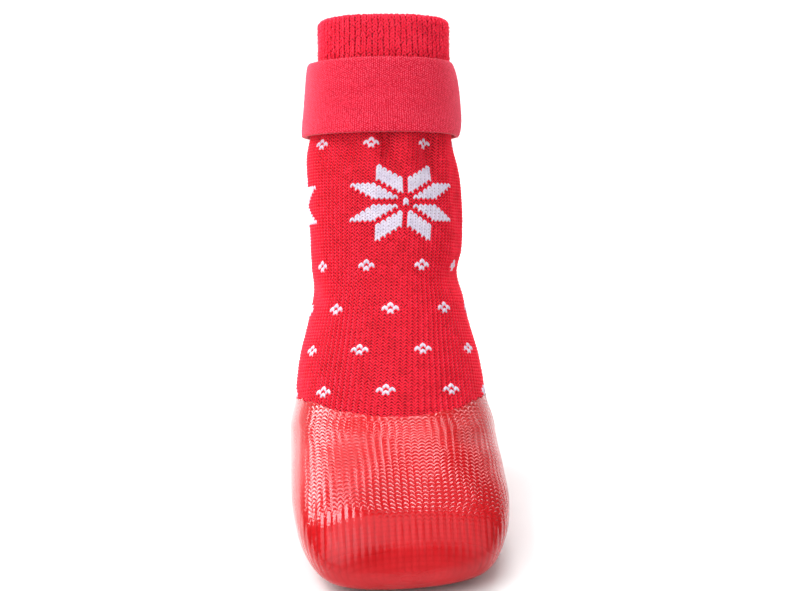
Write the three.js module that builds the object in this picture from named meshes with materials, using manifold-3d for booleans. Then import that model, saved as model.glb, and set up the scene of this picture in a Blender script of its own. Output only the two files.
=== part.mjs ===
// A dog sock: a knitted tube with a ribbed cuff, its foot dipped in rubber, and a strap round the ankle.
// Millimetres, +Z up. The toe points along -Y. The origin is on the floor, under the middle of the sock.
import * as THREE from "three";
import { mergeVertices } from "three/addons/utils/BufferGeometryUtils.js";
import Module from "manifold-3d";

// Driving dimensions
const KNIT_WALL = 2.0; // thickness of the knitted tube
const CUFF_STEP = 0.5; // how much thicker the doubled cuff is, all on its outside
const RIM_ROUND = 1.0; // rounding of the cuff's top edge
const SEAT_GAP = 0.3; // clearance between pieces that lie on each other
const COAT_SIDE = 1.2; // rubber on the sides and top of the foot
const COAT_SOLE = 1.8; // rubber under the foot
const TOE_SEAM_RISE = 0.5; // the toe seam of the knit shows through the rubber as a low ridge
const DIP_FRONT = { y: -20, z: 31.7 }; // the dip line on the instep
const DIP_SLOPE = 0.17; // the dip line falls towards the heel by this share
const MIDDLE_Y = 3.53; // half way from the toe to the back of the strap, in the table's own y
const STRAP_WIDTH = 20;
const STRAP_THICKNESS = 1.8;
const STRAP_TIP_ROUND = 6; // corner radius of the strap's free end

// The last, as sections from the collar to the toe. Each section lies in a plane across the sock, from a
// point on the front line (shin, instep, top of the toe) to one on the back line (calf, heel, sole).
// half_width is its half width along X, and the powers say how square its front and back halves are.
const COLUMNS = ["front_y", "front_z", "back_y", "back_z", "half_width", "front_power", "back_power"];
const SECTIONS = {
  collar: [29.0, 126.0, 57.5, 120.3, 17.3, 2.3, 2.2],
  cuff_low: [27.2, 115.0, 57.5, 108.5, 17.4, 2.3, 2.2],
  strap_mid: [25.0, 104.0, 58.0, 97.5, 18.6, 2.2, 2.1],
  strap_low: [21.5, 94.0, 58.0, 87.0, 20.0, 2.1, 2.1],
  star: [14.5, 77.5, 55.0, 68.5, 21.1, 2.1, 2.1],
  ankle: [3.5, 56.0, 51.0, 44.0, 20.7, 2.1, 2.1],
  instep: [-8.0, 42.5, 49.0, 25.0, 24.4, 2.1, 2.2],
  dip: [-17.0, 33.5, 43.5, 9.5, 25.6, 2.2, 2.5],
  heel: [-25.0, 28.6, 29.0, 1.8, 25.5, 2.3, 3.0],
  arch: [-32.5, 25.0, 8.0, 2.4, 25.2, 2.4, 3.1],
  ball: [-40.3, 21.0, -14.5, 1.8, 24.5, 2.5, 2.8],
  toe: [-47.0, 16.4, -34.0, 1.9, 22.4, 2.4, 2.6],
  toe_front: [-51.6, 11.9, -46.6, 2.4, 18.4, 2.3, 2.4],
  toe_end: [-53.3, 8.6, -51.8, 4.0, 12.6, 2.2, 2.2],
  tip: [-54.0, 6.9, -53.8, 5.7, 4.5, 2.1, 2.1],
};
const SECTION_NAMES = Object.keys(SECTIONS);
const LAST_STATION = SECTION_NAMES.length - 1;
const station = (name) => SECTION_NAMES.indexOf(name);

// Fineness of the facets
const AROUND = 44;
const OUTLINE_STEPS = 120;

const smoothstep = THREE.MathUtils.smoothstep;

// The section at a station t, which is a row number of the table, on a smooth curve through the rows.
function sectionAt(t) {
  const first = Math.min(Math.floor(t), LAST_STATION - 1);
  const share = t - first;
  const row = (i) => SECTIONS[SECTION_NAMES[i]];
  const values = COLUMNS.map((_, column) => {
    const start = row(first)[column];
    const end = row(first + 1)[column];
    const before = first > 0 ? row(first - 1)[column] : 2 * start - end;
    const after = first + 2 <= LAST_STATION ? row(first + 2)[column] : 2 * end - start;
    const bend = 2 * before - 5 * start + 4 * end - after;
    const twist = 3 * start - before - 3 * end + after;
    return 0.5 * (2 * start + (end - before) * share + bend * share ** 2 + twist * share ** 3);
  });
  return Object.fromEntries(COLUMNS.map((name, column) => [name, values[column]]));
}

// Half of a section's outline, from the front line to the back line, with its running length.
// across is the distance along X, and along runs from 1 at the front to -1 at the back.
const outlines = new Map();
function outlineAt(t) {
  if (outlines.has(t)) return outlines.get(t);
  const s = sectionAt(t);
  const half = 0.5 * Math.hypot(s.front_y - s.back_y, s.front_z - s.back_z);
  const points = [];
  for (let i = 0; i <= OUTLINE_STEPS; i++) {
    const angle = (Math.PI * i) / OUTLINE_STEPS;
    const power = 2 / (angle <= Math.PI / 2 ? s.front_power : s.back_power);
    const along = Math.sign(Math.cos(angle)) * Math.abs(Math.cos(angle)) ** power;
    const across = s.half_width * Math.abs(Math.sin(angle)) ** power;
    const last = points[i - 1];
    const run = last ? last.run + Math.hypot(across - last.across, (along - last.along) * half) : 0;
    points.push({ along, across, run });
  }
  outlines.set(t, { s, points });
  return outlines.get(t);
}

// A point of the knit's outer face: turn runs round the section from 0 at the front line, by +X, to 1.
function formPoint(t, turn) {
  const { s, points } = outlineAt(t);
  const wrapped = THREE.MathUtils.euclideanModulo(turn, 1);
  const side = wrapped <= 0.5 ? 1 : -1;
  const run = 2 * Math.min(wrapped, 1 - wrapped) * points[OUTLINE_STEPS].run;
  let i = 1;
  while (i < OUTLINE_STEPS && points[i].run < run) i++;
  const share = (run - points[i - 1].run) / (points[i].run - points[i - 1].run);
  const along = THREE.MathUtils.lerp(points[i - 1].along, points[i].along, share);
  const across = THREE.MathUtils.lerp(points[i - 1].across, points[i].across, share);
  return new THREE.Vector3(
    side * across,
    0.5 * (s.front_y + s.back_y + along * (s.front_y - s.back_y)),
    0.5 * (s.front_z + s.back_z + along * (s.front_z - s.back_z)),
  );
}

// The outward direction at a point of the form
const PROBE = 0.01;
function formNormal(t, turn) {
  const low = Math.max(t - PROBE, 0);
  const high = Math.min(t + PROBE, LAST_STATION);
  const downwards = formPoint(high, turn).sub(formPoint(low, turn));
  const sideways = formPoint(t, turn + PROBE).sub(formPoint(t, turn - PROBE));
  return downwards.cross(sideways).normalize();
}

const skinPoint = (t, turn, offset) =>
  formPoint(t, turn).addScaledVector(formNormal(t, turn), offset);

// One ring of points round the form, offset from it by a number or by a function of turn and normal
function skinRing(t, offset) {
  return Array.from({ length: AROUND }, (_, i) => {
    const turn = i / AROUND;
    const lift = typeof offset === "function" ? offset(turn, formNormal(t, turn)) : offset;
    return skinPoint(t, turn, lift);
  });
}

const middleOf = (ring) =>
  ring.reduce((sum, point) => sum.add(point), new THREE.Vector3()).divideScalar(ring.length);

// A closed surface through rings of equal length, with a fan of triangles on its first and last ring.
// Each fan's middle may be pushed out of its ring's plane.
function loft(rings, firstPush = new THREE.Vector3(), lastPush = new THREE.Vector3()) {
  const count = rings[0].length;
  const points = rings.flat();
  const firstMiddle = points.push(middleOf(rings[0]).add(firstPush)) - 1;
  const lastMiddle = points.push(middleOf(rings.at(-1)).add(lastPush)) - 1;
  const index = [];
  for (let i = 0; i < count; i++) {
    const next = (i + 1) % count;
    for (let r = 0; r + 1 < rings.length; r++) {
      const [here, below] = [r * count, (r + 1) * count];
      index.push(here + i, below + i, below + next);
      index.push(here + i, below + next, here + next);
    }
    const end = (rings.length - 1) * count;
    index.push(firstMiddle, i, next);
    index.push(lastMiddle, end + next, end + i);
  }
  return new THREE.BufferGeometry().setFromPoints(points).setIndex(index);
}

// Evenly spaced stations between two of them, both included
const stations = (from, to, steps) =>
  Array.from({ length: steps + 1 }, (_, i) => THREE.MathUtils.lerp(from, to, i / steps));

// The knitted tube: down its outside from the rim to the toe, and down its inside, as one closed wall.
const INSIDE_END = station("toe_front") - 0.1; // the hollow ends here, a wall's thickness behind the toe
const CUFF_END = [station("strap_mid") - 0.5, station("strap_mid") - 0.2];
const RIM_STATIONS = [0, 0.03, 0.1];
const LEG_STATIONS = stations(0.4, station("heel"), 19);
const FOOT_STATIONS = stations(station("heel") + 0.5, LAST_STATION, 13);
const OUTSIDE = [...RIM_STATIONS, ...LEG_STATIONS, ...FOOT_STATIONS];
const FORWARD = new THREE.Vector3(0, -1, 0);
const TOE_CROWN = 0.2; // how far the closed toe bulges beyond its last ring

function cuffLift(t) {
  return CUFF_STEP * (1 - smoothstep(t, ...CUFF_END));
}

function knitUpper() {
  const collar = formPoint(0, 0);
  const depthBelowRim = (t) => formPoint(t, 0).distanceTo(collar);
  const outerLift = (t) => {
    const short = Math.max(RIM_ROUND - depthBelowRim(t), 0);
    return cuffLift(t) - (RIM_ROUND - Math.sqrt(RIM_ROUND ** 2 - short ** 2));
  };
  const inside = [0, ...stations(0.4, station("dip"), 14), ...stations(station("heel"), INSIDE_END, 7)];
  const rings = [
    ...inside.map((t) => skinRing(t, -KNIT_WALL)).reverse(),
    ...OUTSIDE.map((t) => skinRing(t, outerLift(t))),
  ];
  return loft(rings, new THREE.Vector3(), FORWARD.clone().multiplyScalar(TOE_CROWN));
}

// Joining and cutting
const wasm = await Module();
wasm.setup();

function toSolid(geometry) {
  const bare = geometry.clone();
  bare.deleteAttribute("normal");
  bare.deleteAttribute("uv");
  const merged = mergeVertices(bare);
  const mesh = new wasm.Mesh({
    numProp: 3,
    vertProperties: merged.attributes.position.array,
    triVerts: new Uint32Array(merged.index.array),
  });
  return new wasm.Manifold(mesh);
}

function toGeometry(solid) {
  const mesh = solid.getMesh();
  return new THREE.BufferGeometry()
    .setAttribute("position", new THREE.BufferAttribute(mesh.vertProperties, 3))
    .setIndex(new THREE.BufferAttribute(mesh.triVerts, 1));
}

// The rubber coat: the foot's own form between two offsets, cut level at the floor and along the dip line.
const SEAM_STATION = station("toe");
const SEAM_SPREAD = 0.22;
const CUTTER = 300;

function coatLift(t) {
  const seam = TOE_SEAM_RISE * Math.exp(-(((t - SEAM_STATION) / SEAM_SPREAD) ** 2));
  return (turn, normal) => {
    const underneath = smoothstep(-normal.z, 0.2, 0.9);
    const onTop = smoothstep(Math.cos(2 * Math.PI * turn), -0.2, 0.4);
    return SEAT_GAP + THREE.MathUtils.lerp(COAT_SIDE, COAT_SOLE, underneath) + seam * onTop;
  };
}

function rubberSole() {
  const coated = OUTSIDE.filter((t) => t >= station("ankle"));
  const crown = FORWARD.clone().multiplyScalar(TOE_CROWN);
  const outer = loft(coated.map((t) => skinRing(t, coatLift(t))), undefined, crown);
  const inner = loft(coated.map((t) => skinRing(t, SEAT_GAP)), undefined, crown);
  const aboveDip = new THREE.BoxGeometry(CUTTER, CUTTER, CUTTER)
    .translate(0, 0, CUTTER / 2)
    .rotateX(-Math.atan(DIP_SLOPE))
    .translate(0, DIP_FRONT.y, DIP_FRONT.z);
  const belowFloor = new THREE.BoxGeometry(CUTTER, CUTTER, CUTTER).translate(0, 0, -CUTTER / 2);
  const coat = [inner, aboveDip, belowFloor].reduce(
    (solid, cutter) => solid.subtract(toSolid(cutter)),
    toSolid(outer),
  );
  return toGeometry(coat);
}

// The strap: a band with rounded edges that goes once round the leg and laps over its own start.
const STRAP_TOP_STATION = station("cuff_low") + 0.02;
const STRAP_BOTTOM_STATION = station("strap_low") - 0.12;
const STRAP_START = 0.48; // turns from the front line, so the lap lies behind
const STRAP_LAP = 0.14; // share of a turn that lies double
const STRAP_RAMP = 0.1; // share of a turn over which the free end climbs onto the first layer
const STRAP_STAND = 0.45; // the strap's clearance from the knit, a little loose all round
const STRAP_STEPS = 60;
const STRAP_CROWDING = 1.4; // above 1, the steps lie closer together towards the rounded end
const STRAP_EDGE_POINTS = 14;
const STRAP_EDGE_POWER = 5; // how square the band's own section is

// How much of the band's half width is left near the rounded free end
function tipShare(lengthLeft) {
  const short = Math.max(STRAP_TIP_ROUND - lengthLeft, 0);
  const cut = STRAP_TIP_ROUND - Math.sqrt(STRAP_TIP_ROUND ** 2 - short ** 2);
  return 1 - cut / (STRAP_WIDTH / 2);
}

function strapRing(step) {
  const left = (1 - step / STRAP_STEPS) ** STRAP_CROWDING;
  const turn = STRAP_START + (1 + STRAP_LAP) * (1 - left);
  const legRound = 2 * Math.PI * SECTIONS.strap_mid[COLUMNS.indexOf("half_width")];
  const lengthLeft = (1 + STRAP_LAP) * legRound * left;
  const layer = smoothstep(turn, STRAP_START + 1 - STRAP_RAMP, STRAP_START + 1);
  const stand = STRAP_STAND + layer * (STRAP_THICKNESS + SEAT_GAP);
  const halfWide = 0.5 * tipShare(lengthLeft);
  return Array.from({ length: STRAP_EDGE_POINTS }, (_, i) => {
    const angle = (-2 * Math.PI * i) / STRAP_EDGE_POINTS;
    const round = (value) => Math.sign(value) * Math.abs(value) ** (2 / STRAP_EDGE_POWER);
    const high = 0.5 - halfWide * round(Math.cos(angle));
    const t = THREE.MathUtils.lerp(STRAP_TOP_STATION, STRAP_BOTTOM_STATION, high);
    const out = 0.5 * STRAP_THICKNESS * (1 + round(Math.sin(angle)));
    return skinPoint(t, turn, cuffLift(t) + stand + out);
  });
}

function ankleStrap() {
  return loft(Array.from({ length: STRAP_STEPS + 1 }, (_, step) => strapRing(step)));
}

// Materials and the assembly
const KNIT_RED = new THREE.MeshStandardMaterial({ color: 0xd81f3a, roughness: 0.95, metalness: 0 });
const RUBBER_RED = new THREE.MeshStandardMaterial({ color: 0xcf1d24, roughness: 0.3, metalness: 0 });
const STRAP_RED = new THREE.MeshStandardMaterial({ color: 0xe23348, roughness: 0.9, metalness: 0 });

function named(name, geometry, material) {
  const mesh = new THREE.Mesh(geometry, material);
  mesh.name = name;
  return mesh;
}

const sock = new THREE.Group();
sock.name = "dog_sock";
sock.position.y = -MIDDLE_Y;
sock.add(named("knit_upper", knitUpper(), KNIT_RED));
sock.add(named("rubber_sole", rubberSole(), RUBBER_RED));
sock.add(named("ankle_strap", ankleStrap(), STRAP_RED));

export default sock;
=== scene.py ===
# A knitted dog sock with a rubber-dipped foot and an ankle strap, dressed stitch by stitch.
# Shapes are worked out in millimetres in the last's own frame and written in metres in the CAD frame.
import math

import bpy
import numpy as np
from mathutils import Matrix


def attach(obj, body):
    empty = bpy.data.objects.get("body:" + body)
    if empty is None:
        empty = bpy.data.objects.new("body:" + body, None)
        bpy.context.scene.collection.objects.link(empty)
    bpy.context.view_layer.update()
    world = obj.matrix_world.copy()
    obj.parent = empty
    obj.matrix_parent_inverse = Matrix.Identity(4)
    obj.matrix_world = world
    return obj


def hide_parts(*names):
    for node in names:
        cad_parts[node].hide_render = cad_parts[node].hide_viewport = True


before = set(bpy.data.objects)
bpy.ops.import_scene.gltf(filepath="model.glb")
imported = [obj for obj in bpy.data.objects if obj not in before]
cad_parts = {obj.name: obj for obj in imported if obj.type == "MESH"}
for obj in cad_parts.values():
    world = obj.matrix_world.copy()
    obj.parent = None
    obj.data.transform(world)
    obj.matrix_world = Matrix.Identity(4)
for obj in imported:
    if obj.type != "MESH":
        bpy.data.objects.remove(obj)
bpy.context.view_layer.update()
scene = bpy.context.scene

MM = 0.001
MIDDLE_Y = 3.53  # the last's y at the CAD origin
SEED = 7

# The last, as sections from the collar to the toe: y and z of the front line, y and z of the back line,
# half the width, and how square the section is in front and at the back
SECTIONS = {
    "collar": (29.0, 126.0, 57.5, 120.3, 17.3, 2.3, 2.2),
    "cuff_low": (27.2, 115.0, 57.5, 108.5, 17.4, 2.3, 2.2),
    "strap_mid": (25.0, 104.0, 58.0, 97.5, 18.6, 2.2, 2.1),
    "strap_low": (21.5, 94.0, 58.0, 87.0, 20.0, 2.1, 2.1),
    "star": (14.5, 77.5, 55.0, 68.5, 21.1, 2.1, 2.1),
    "ankle": (3.5, 56.0, 51.0, 44.0, 20.7, 2.1, 2.1),
    "instep": (-8.0, 42.5, 49.0, 25.0, 24.4, 2.1, 2.2),
    "dip": (-17.0, 33.5, 43.5, 9.5, 25.6, 2.2, 2.5),
    "heel": (-25.0, 28.6, 29.0, 1.8, 25.5, 2.3, 3.0),
    "arch": (-32.5, 25.0, 8.0, 2.4, 25.2, 2.4, 3.1),
    "ball": (-40.3, 21.0, -14.5, 1.8, 24.5, 2.5, 2.8),
    "toe": (-47.0, 16.4, -34.0, 1.9, 22.4, 2.4, 2.6),
    "toe_front": (-51.6, 11.9, -46.6, 2.4, 18.4, 2.3, 2.4),
    "toe_end": (-53.3, 8.6, -51.8, 4.0, 12.6, 2.2, 2.2),
    "tip": (-54.0, 6.9, -53.8, 5.7, 4.5, 2.1, 2.1),
}
STATION = {name: i for i, name in enumerate(SECTIONS)}
LAST_STATION = len(SECTIONS) - 1
OUTLINE_STEPS = 120  # on half a section, before it is read at even turns

# Sizes of the pieces, as in the CAD model
KNIT_WALL = 2.0
CUFF_STEP = 0.5
CUFF_END = (STATION["strap_mid"] - 0.5, STATION["strap_mid"] - 0.2)
COAT_GAP = 0.3
COAT_SIDE = 1.2
COAT_SOLE = 1.8
TOE_SEAM = STATION["toe"]
DIP_FRONT_Y = -20.0
DIP_FRONT_Z = 31.7
DIP_SLOPE = 0.17
DIP_CURVE = 2.6  # how far the dip line climbs at DIP_CURVE_REACH from the middle of the instep
DIP_CURVE_REACH = 25.0
DIP_CURVE_FADE = (20.0, -10.0)  # the climb begins over these y, from the heel forward
DIP_SAG = 0.5
STRAP_THICKNESS = 1.8
STRAP_WIDTH = 20.0
STRAP_TIP_ROUND = 6.0
STRAP_TOP = STATION["cuff_low"] + 0.02
STRAP_BOTTOM = STATION["strap_low"] - 0.12
STRAP_START = 0.48
STRAP_LAP = 0.14
STRAP_RAMP = 0.1
STRAP_STAND = 0.45

# The knit: stitches round the tube and rows of them from the strap to the dip line
WALES = 88
LEG_COURSES = 90
COURSES_UNDER_STRAP = 4
COURSES_UNDER_COAT = 2
STAR_COURSE = 22.5


def smoothstep(x, low, high):
    """0 up to low, 1 from high on and a soft step between them. High may be the smaller one."""
    share = np.clip((np.asarray(x, float) - low) / (high - low), 0.0, 1.0)
    return share * share * (3.0 - 2.0 * share)


def hump(x, middle, reach):
    """1 at the middle, falling off softly to both sides."""
    return np.exp(-(((x - middle) / reach) ** 2))


def off_whole(x):
    """How far a value lies from the nearest whole number, between -0.5 and 0.5."""
    return np.mod(x + 0.5, 1.0) - 0.5


def unit(vectors):
    return vectors / np.maximum(np.linalg.norm(vectors, axis=-1, keepdims=True), 1e-12)


# The form

def section_values(stations):
    """Each column of the table at stations, which are row numbers, on a smooth curve through the rows."""
    rows = np.array(list(SECTIONS.values()))
    rows = np.vstack([2 * rows[0] - rows[1], rows, 2 * rows[-1] - rows[-2]])
    first = np.minimum(np.floor(stations).astype(int), LAST_STATION - 1)
    share = (stations - first)[:, None]
    before, start, end, after = (rows[first + k] for k in range(4))
    bend = 2 * before - 5 * start + 4 * end - after
    twist = 3 * start - before - 3 * end + after
    return 0.5 * (2 * start + (end - before) * share + bend * share**2 + twist * share**3)


def section_outline(values, turns):
    """Points of one section at turns, which run from 0 at the front line by +X to 1."""
    front_y, front_z, back_y, back_z, half_width, front_power, back_power = values
    angle = np.linspace(0.0, math.pi, OUTLINE_STEPS + 1)
    power = 2.0 / np.where(angle <= math.pi / 2, front_power, back_power)
    along = np.sign(np.cos(angle)) * np.abs(np.cos(angle)) ** power
    across = half_width * np.abs(np.sin(angle)) ** power
    half = 0.5 * math.hypot(front_y - back_y, front_z - back_z)
    pieces = np.hypot(np.diff(across), np.diff(along) * half)
    run = np.concatenate([[0.0], np.cumsum(pieces)])
    wrapped = np.mod(turns, 1.0)
    want = 2.0 * np.minimum(wrapped, 1.0 - wrapped) * run[-1]
    side = np.where(wrapped <= 0.5, 1.0, -1.0)
    along_here = np.interp(want, run, along)
    x = side * np.interp(want, run, across)
    y = 0.5 * (front_y + back_y + along_here * (front_y - back_y))
    z = 0.5 * (front_z + back_z + along_here * (front_z - back_z))
    return np.stack([x, y, z], axis=-1)


# Soft troughs and ridges: station and turn of the middle, reach in stations and in turns,
# rise, and slant in turns for each station
CREASES = {
    "gather_trough_front": (3.10, 0.995, 0.34, 0.014, -2.1, 0.010),
    "gather_ridge_front": (3.15, 0.036, 0.38, 0.018, 0.9, 0.006),
    "gather_trough_right": (3.18, 0.092, 0.36, 0.018, -2.3, -0.010),
    "gather_ridge_right": (3.15, 0.140, 0.34, 0.022, 0.5, 0.0),
    "gather_trough_left": (3.10, 0.912, 0.28, 0.016, -1.0, 0.012),
    "ankle_trough_left": (4.95, 0.790, 0.18, 0.060, -1.0, 0.10),
    "ankle_trough_right": (4.75, 0.190, 0.18, 0.085, -2.0, -0.10),
    "ankle_ridge_front": (5.25, 0.050, 0.35, 0.090, 0.4, 0.0),
    "shin_trough_right": (4.05, 0.175, 0.55, 0.024, -0.6, 0.0),
    "calf_trough_upper": (4.30, 0.480, 0.25, 0.110, -0.7, 0.0),
    "calf_trough_lower": (5.20, 0.530, 0.25, 0.120, -0.9, 0.0),
    "foot_dent_left": (8.60, 0.930, 0.75, 0.050, -0.5, 0.02),
    "foot_swell_right": (8.90, 0.060, 0.80, 0.060, 0.4, 0.0),
    "toe_dent_middle": (10.20, 0.985, 0.45, 0.070, -0.25, 0.0),
    "side_dent_right": (9.30, 0.170, 0.60, 0.045, -0.4, 0.0),
    "side_dent_left": (9.60, 0.820, 0.80, 0.045, -0.3, 0.0),
    "shin_swell_left": (3.25, 0.770, 0.45, 0.080, 1.2, 0.0),
    "strap_pinch_right": (2.98, 0.240, 0.40, 0.065, -1.6, 0.0),
}
TOE_SLANT = 0.08  # the toe is set a little askew: its +X side lies this share of x further back


def crease_rise(stations, turns):
    total = np.zeros(np.broadcast(stations, turns).shape)
    for station, turn, half_stations, half_turns, rise, slant in CREASES.values():
        round_way = off_whole(turns - turn - slant * (stations - station))
        total += rise * hump(stations, station, half_stations) * hump(round_way, 0.0, half_turns)
    return total


class Form:
    """The knit's outer face as a fine lattice, read between its points."""

    ROWS_PER_STATION = 40
    COLUMNS_ROUND = 704

    def __init__(self, creased):
        self.stations = np.linspace(0, LAST_STATION, LAST_STATION * self.ROWS_PER_STATION + 1)
        turns = np.arange(self.COLUMNS_ROUND) / self.COLUMNS_ROUND
        values = section_values(self.stations)
        plain = np.stack([section_outline(row, turns) for row in values])
        askew = creased * TOE_SLANT * smoothstep(self.stations, STATION["arch"], STATION["toe_front"])
        plain[..., 1] += askew[:, None] * plain[..., 0]
        rise = creased * crease_rise(self.stations[:, None], turns[None, :])
        points = plain + self.outward(plain) * rise[..., None]
        self.lattice = np.concatenate([points, self.outward(points)], axis=-1)
        front_steps = np.diff(values[:, :2], axis=0)
        self.front_run = np.concatenate([[0.0], np.cumsum(np.hypot(*front_steps.T))])
        self.round_run = np.linalg.norm(plain - np.roll(plain, 1, axis=1), axis=-1).sum(axis=1)

    @staticmethod
    def outward(points):
        round_way = np.roll(points, -1, axis=1) - np.roll(points, 1, axis=1)
        return unit(np.cross(np.gradient(points, axis=0), round_way))

    def at(self, stations, turns):
        """Points and normals of the face."""
        stations, turns = np.broadcast_arrays(np.asarray(stations, float), np.asarray(turns, float))
        row = np.clip(stations, 0, LAST_STATION) * self.ROWS_PER_STATION
        row0 = np.minimum(row.astype(int), len(self.stations) - 2)
        column = np.mod(turns, 1.0) * self.COLUMNS_ROUND
        column0 = np.floor(column).astype(int) % self.COLUMNS_ROUND
        column1 = (column0 + 1) % self.COLUMNS_ROUND
        down = (row - row0)[..., None]
        sideways = (column - np.floor(column))[..., None]
        known = self.lattice
        upper = known[row0, column0] * (1 - sideways) + known[row0, column1] * sideways
        lower = known[row0 + 1, column0] * (1 - sideways) + known[row0 + 1, column1] * sideways
        found = upper * (1 - down) + lower * down
        return found[..., :3], unit(found[..., 3:])

    def skin(self, stations, turns, lift):
        points, normals = self.at(stations, turns)
        return points + normals * lift[..., None]

    def run_at(self, station):
        return np.interp(station, self.stations, self.front_run)

    def station_at(self, run):
        return np.interp(run, self.front_run, self.stations)

    def round_at(self, station):
        return np.interp(station, self.stations, self.round_run)


form = Form(creased=True)
smooth_form = Form(creased=False)
LEG_TOP_RUN = form.run_at(STRAP_BOTTOM)
DIP_FRONT_STATION = np.interp(-DIP_FRONT_Y, -section_values(form.stations)[:, 0], form.stations)
COURSE = (form.run_at(DIP_FRONT_STATION) - LEG_TOP_RUN) / LEG_COURSES  # the height of a row

# Rows lie closer together under the strap and are drawn apart over the ankle
GATHER = 1.1  # how many rows the star sits higher than on an even knit
GATHER_END = 60.0


def course_run(course):
    gathered = GATHER * np.sin(math.pi * np.clip(course / GATHER_END, 0.0, 1.0))
    return LEG_TOP_RUN + (course - gathered) * COURSE


ALL_COURSES = np.arange(-40.0, 220.0, 0.25)  # past both ends of the sock
ALL_COURSE_RUNS = course_run(ALL_COURSES)


def course_station(course):
    """The station of a row of stitches, counted from the strap's lower edge."""
    return form.station_at(course_run(course))


def station_course(station):
    return np.interp(form.run_at(station), ALL_COURSE_RUNS, ALL_COURSES)


# Wales keep their width on the shin and instep, and the wider sections are made up round the heel
WALE_WIDTHS = (
    (3.0, 4.0, 4.4, 4.8, 5.4, 6.3, 7.2, 8.0),  # stations
    (1.37, 1.42, 1.37, 1.33, 1.43, 1.555, 1.64, 1.70),
)
TWIST = -3.2  # wales that the tube is turned by between the star and the dip line
LEAN = 0.8  # wales that the top of the leg leans to +X by, up to the strap
LEAN_END = STAR_COURSE - 6  # the row below which it doesn't lean


def spread_turn(stations, wales, count, widths):
    """Turns of wales out of a count of them, which have these widths in front and make up the rest behind."""
    share = off_whole(wales / count)
    front_share = np.minimum(np.interp(stations, *widths) * count / form.round_at(stations), 1.0)
    return front_share * share + 4 * (1 - front_share) * share**3


def wale_turn(stations, wales):
    """Where a wale lies round the section at a station."""
    course = station_course(stations)
    twist = TWIST * np.clip((course - STAR_COURSE) / (LEG_COURSES - STAR_COURSE), 0.0, 1.0)
    lean = LEAN * (1 - smoothstep(course, 0.0, LEAN_END))
    return spread_turn(stations, wales + twist + lean, WALES, WALE_WIDTHS)


def cuff_lift(stations):
    return CUFF_STEP * (1 - smoothstep(stations, *CUFF_END))


def above_dip(points):
    """How far points lie above the dip line, which climbs a little towards both sides of the instep."""
    x, y, z = np.moveaxis(points, -1, 0)
    climb = DIP_CURVE * (x / DIP_CURVE_REACH) ** 2 * smoothstep(y, *DIP_CURVE_FADE)
    return z - (DIP_FRONT_Z - DIP_SLOPE * (y - DIP_FRONT_Y) + climb - DIP_SAG)


# Meshes from arrays

def pairs(rows, columns):
    """Every pair of a row and a column, row by row."""
    return (side.reshape(-1) for side in np.meshgrid(rows, columns, indexing="ij"))


STITCH_UV = "stitch"
KNIT_SHOWS = "knit_shows"


def add_object(name, data):
    made = bpy.data.objects.new(name, data)
    scene.collection.objects.link(made)
    return made


def add_piece(name, points, faces, materials, face_materials=None, uv=None, shows=None, valleys=None):
    """A mesh object from points in the last's millimetres and blocks of faces with equal corner counts."""
    mesh = bpy.data.meshes.new(name)
    moved = (np.asarray(points).reshape(-1, 3) - np.array([0.0, MIDDLE_Y, 0.0])) * MM
    mesh.from_pydata(moved, [], [face for block in faces for face in block.tolist()], shade_flat=False)
    for material in materials:
        mesh.materials.append(material)
    if face_materials is not None:
        mesh.polygons.foreach_set("material_index", np.asarray(face_materials, np.int32))
    if uv is not None:
        corners = np.concatenate([block.reshape(-1) for block in faces])
        layer = mesh.uv_layers.new(name=STITCH_UV)
        layer.data.foreach_set("uv", np.asarray(uv, np.float32)[corners].reshape(-1))
    if shows is not None:
        layer = mesh.attributes.new(name=KNIT_SHOWS, type="FLOAT_VECTOR", domain="POINT")
        layer.data.foreach_set("vector", np.asarray(shows, np.float32).reshape(-1))
    mesh.validate()
    if valleys is not None:
        ends = np.zeros(2 * len(mesh.edges), np.int32)
        mesh.edges.foreach_get("vertices", ends)
        # Each kind of valley is a bit. An edge is sharp where both its ends have the same one
        mesh.edges.foreach_set("use_edge_sharp", (valleys[ends[0::2]] & valleys[ends[1::2]]) > 0)
    return add_object(name, mesh)


def ring_quads(rows, columns):
    """Quads between closed rings of points, rows of them, facing out where rows run down the sock."""
    here = np.arange((rows - 1) * columns).reshape(rows - 1, columns)
    right = np.roll(here, -1, axis=1)
    return np.stack([here, here + columns, right + columns, right], axis=-1).reshape(-1, 4)


def fan(ring, middle):
    return np.stack([np.full(len(ring), middle), ring, np.roll(ring, -1)], axis=-1)


def copies(count, points_each, *blocks):
    """Faces of many like meshes in a row, from blocks of faces of the first."""
    starts = points_each * np.arange(count)[:, None, None]
    return [(starts + block).reshape(-1, block.shape[1]) for block in blocks]


def closed_rings(rings):
    """Points and faces of a closed shell through rings, with a fan of triangles at each end."""
    count, columns, _ = rings.shape
    points = np.concatenate([rings.reshape(-1, 3), rings[:1].mean(axis=1), rings[-1:].mean(axis=1)])
    ring = np.arange(columns)
    middle = count * columns
    ends = np.concatenate([fan(ring, middle), fan(ring + middle - columns, middle + 1)[:, ::-1]])
    return points, [ring_quads(count, columns), ends]


def dress(piece, slot, *nodes):
    """Ties a piece to the CAD model's root body and hides the nodes it stands for. The slot is not used."""
    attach(piece, "root")
    if nodes:
        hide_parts(*nodes)


# Materials

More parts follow.
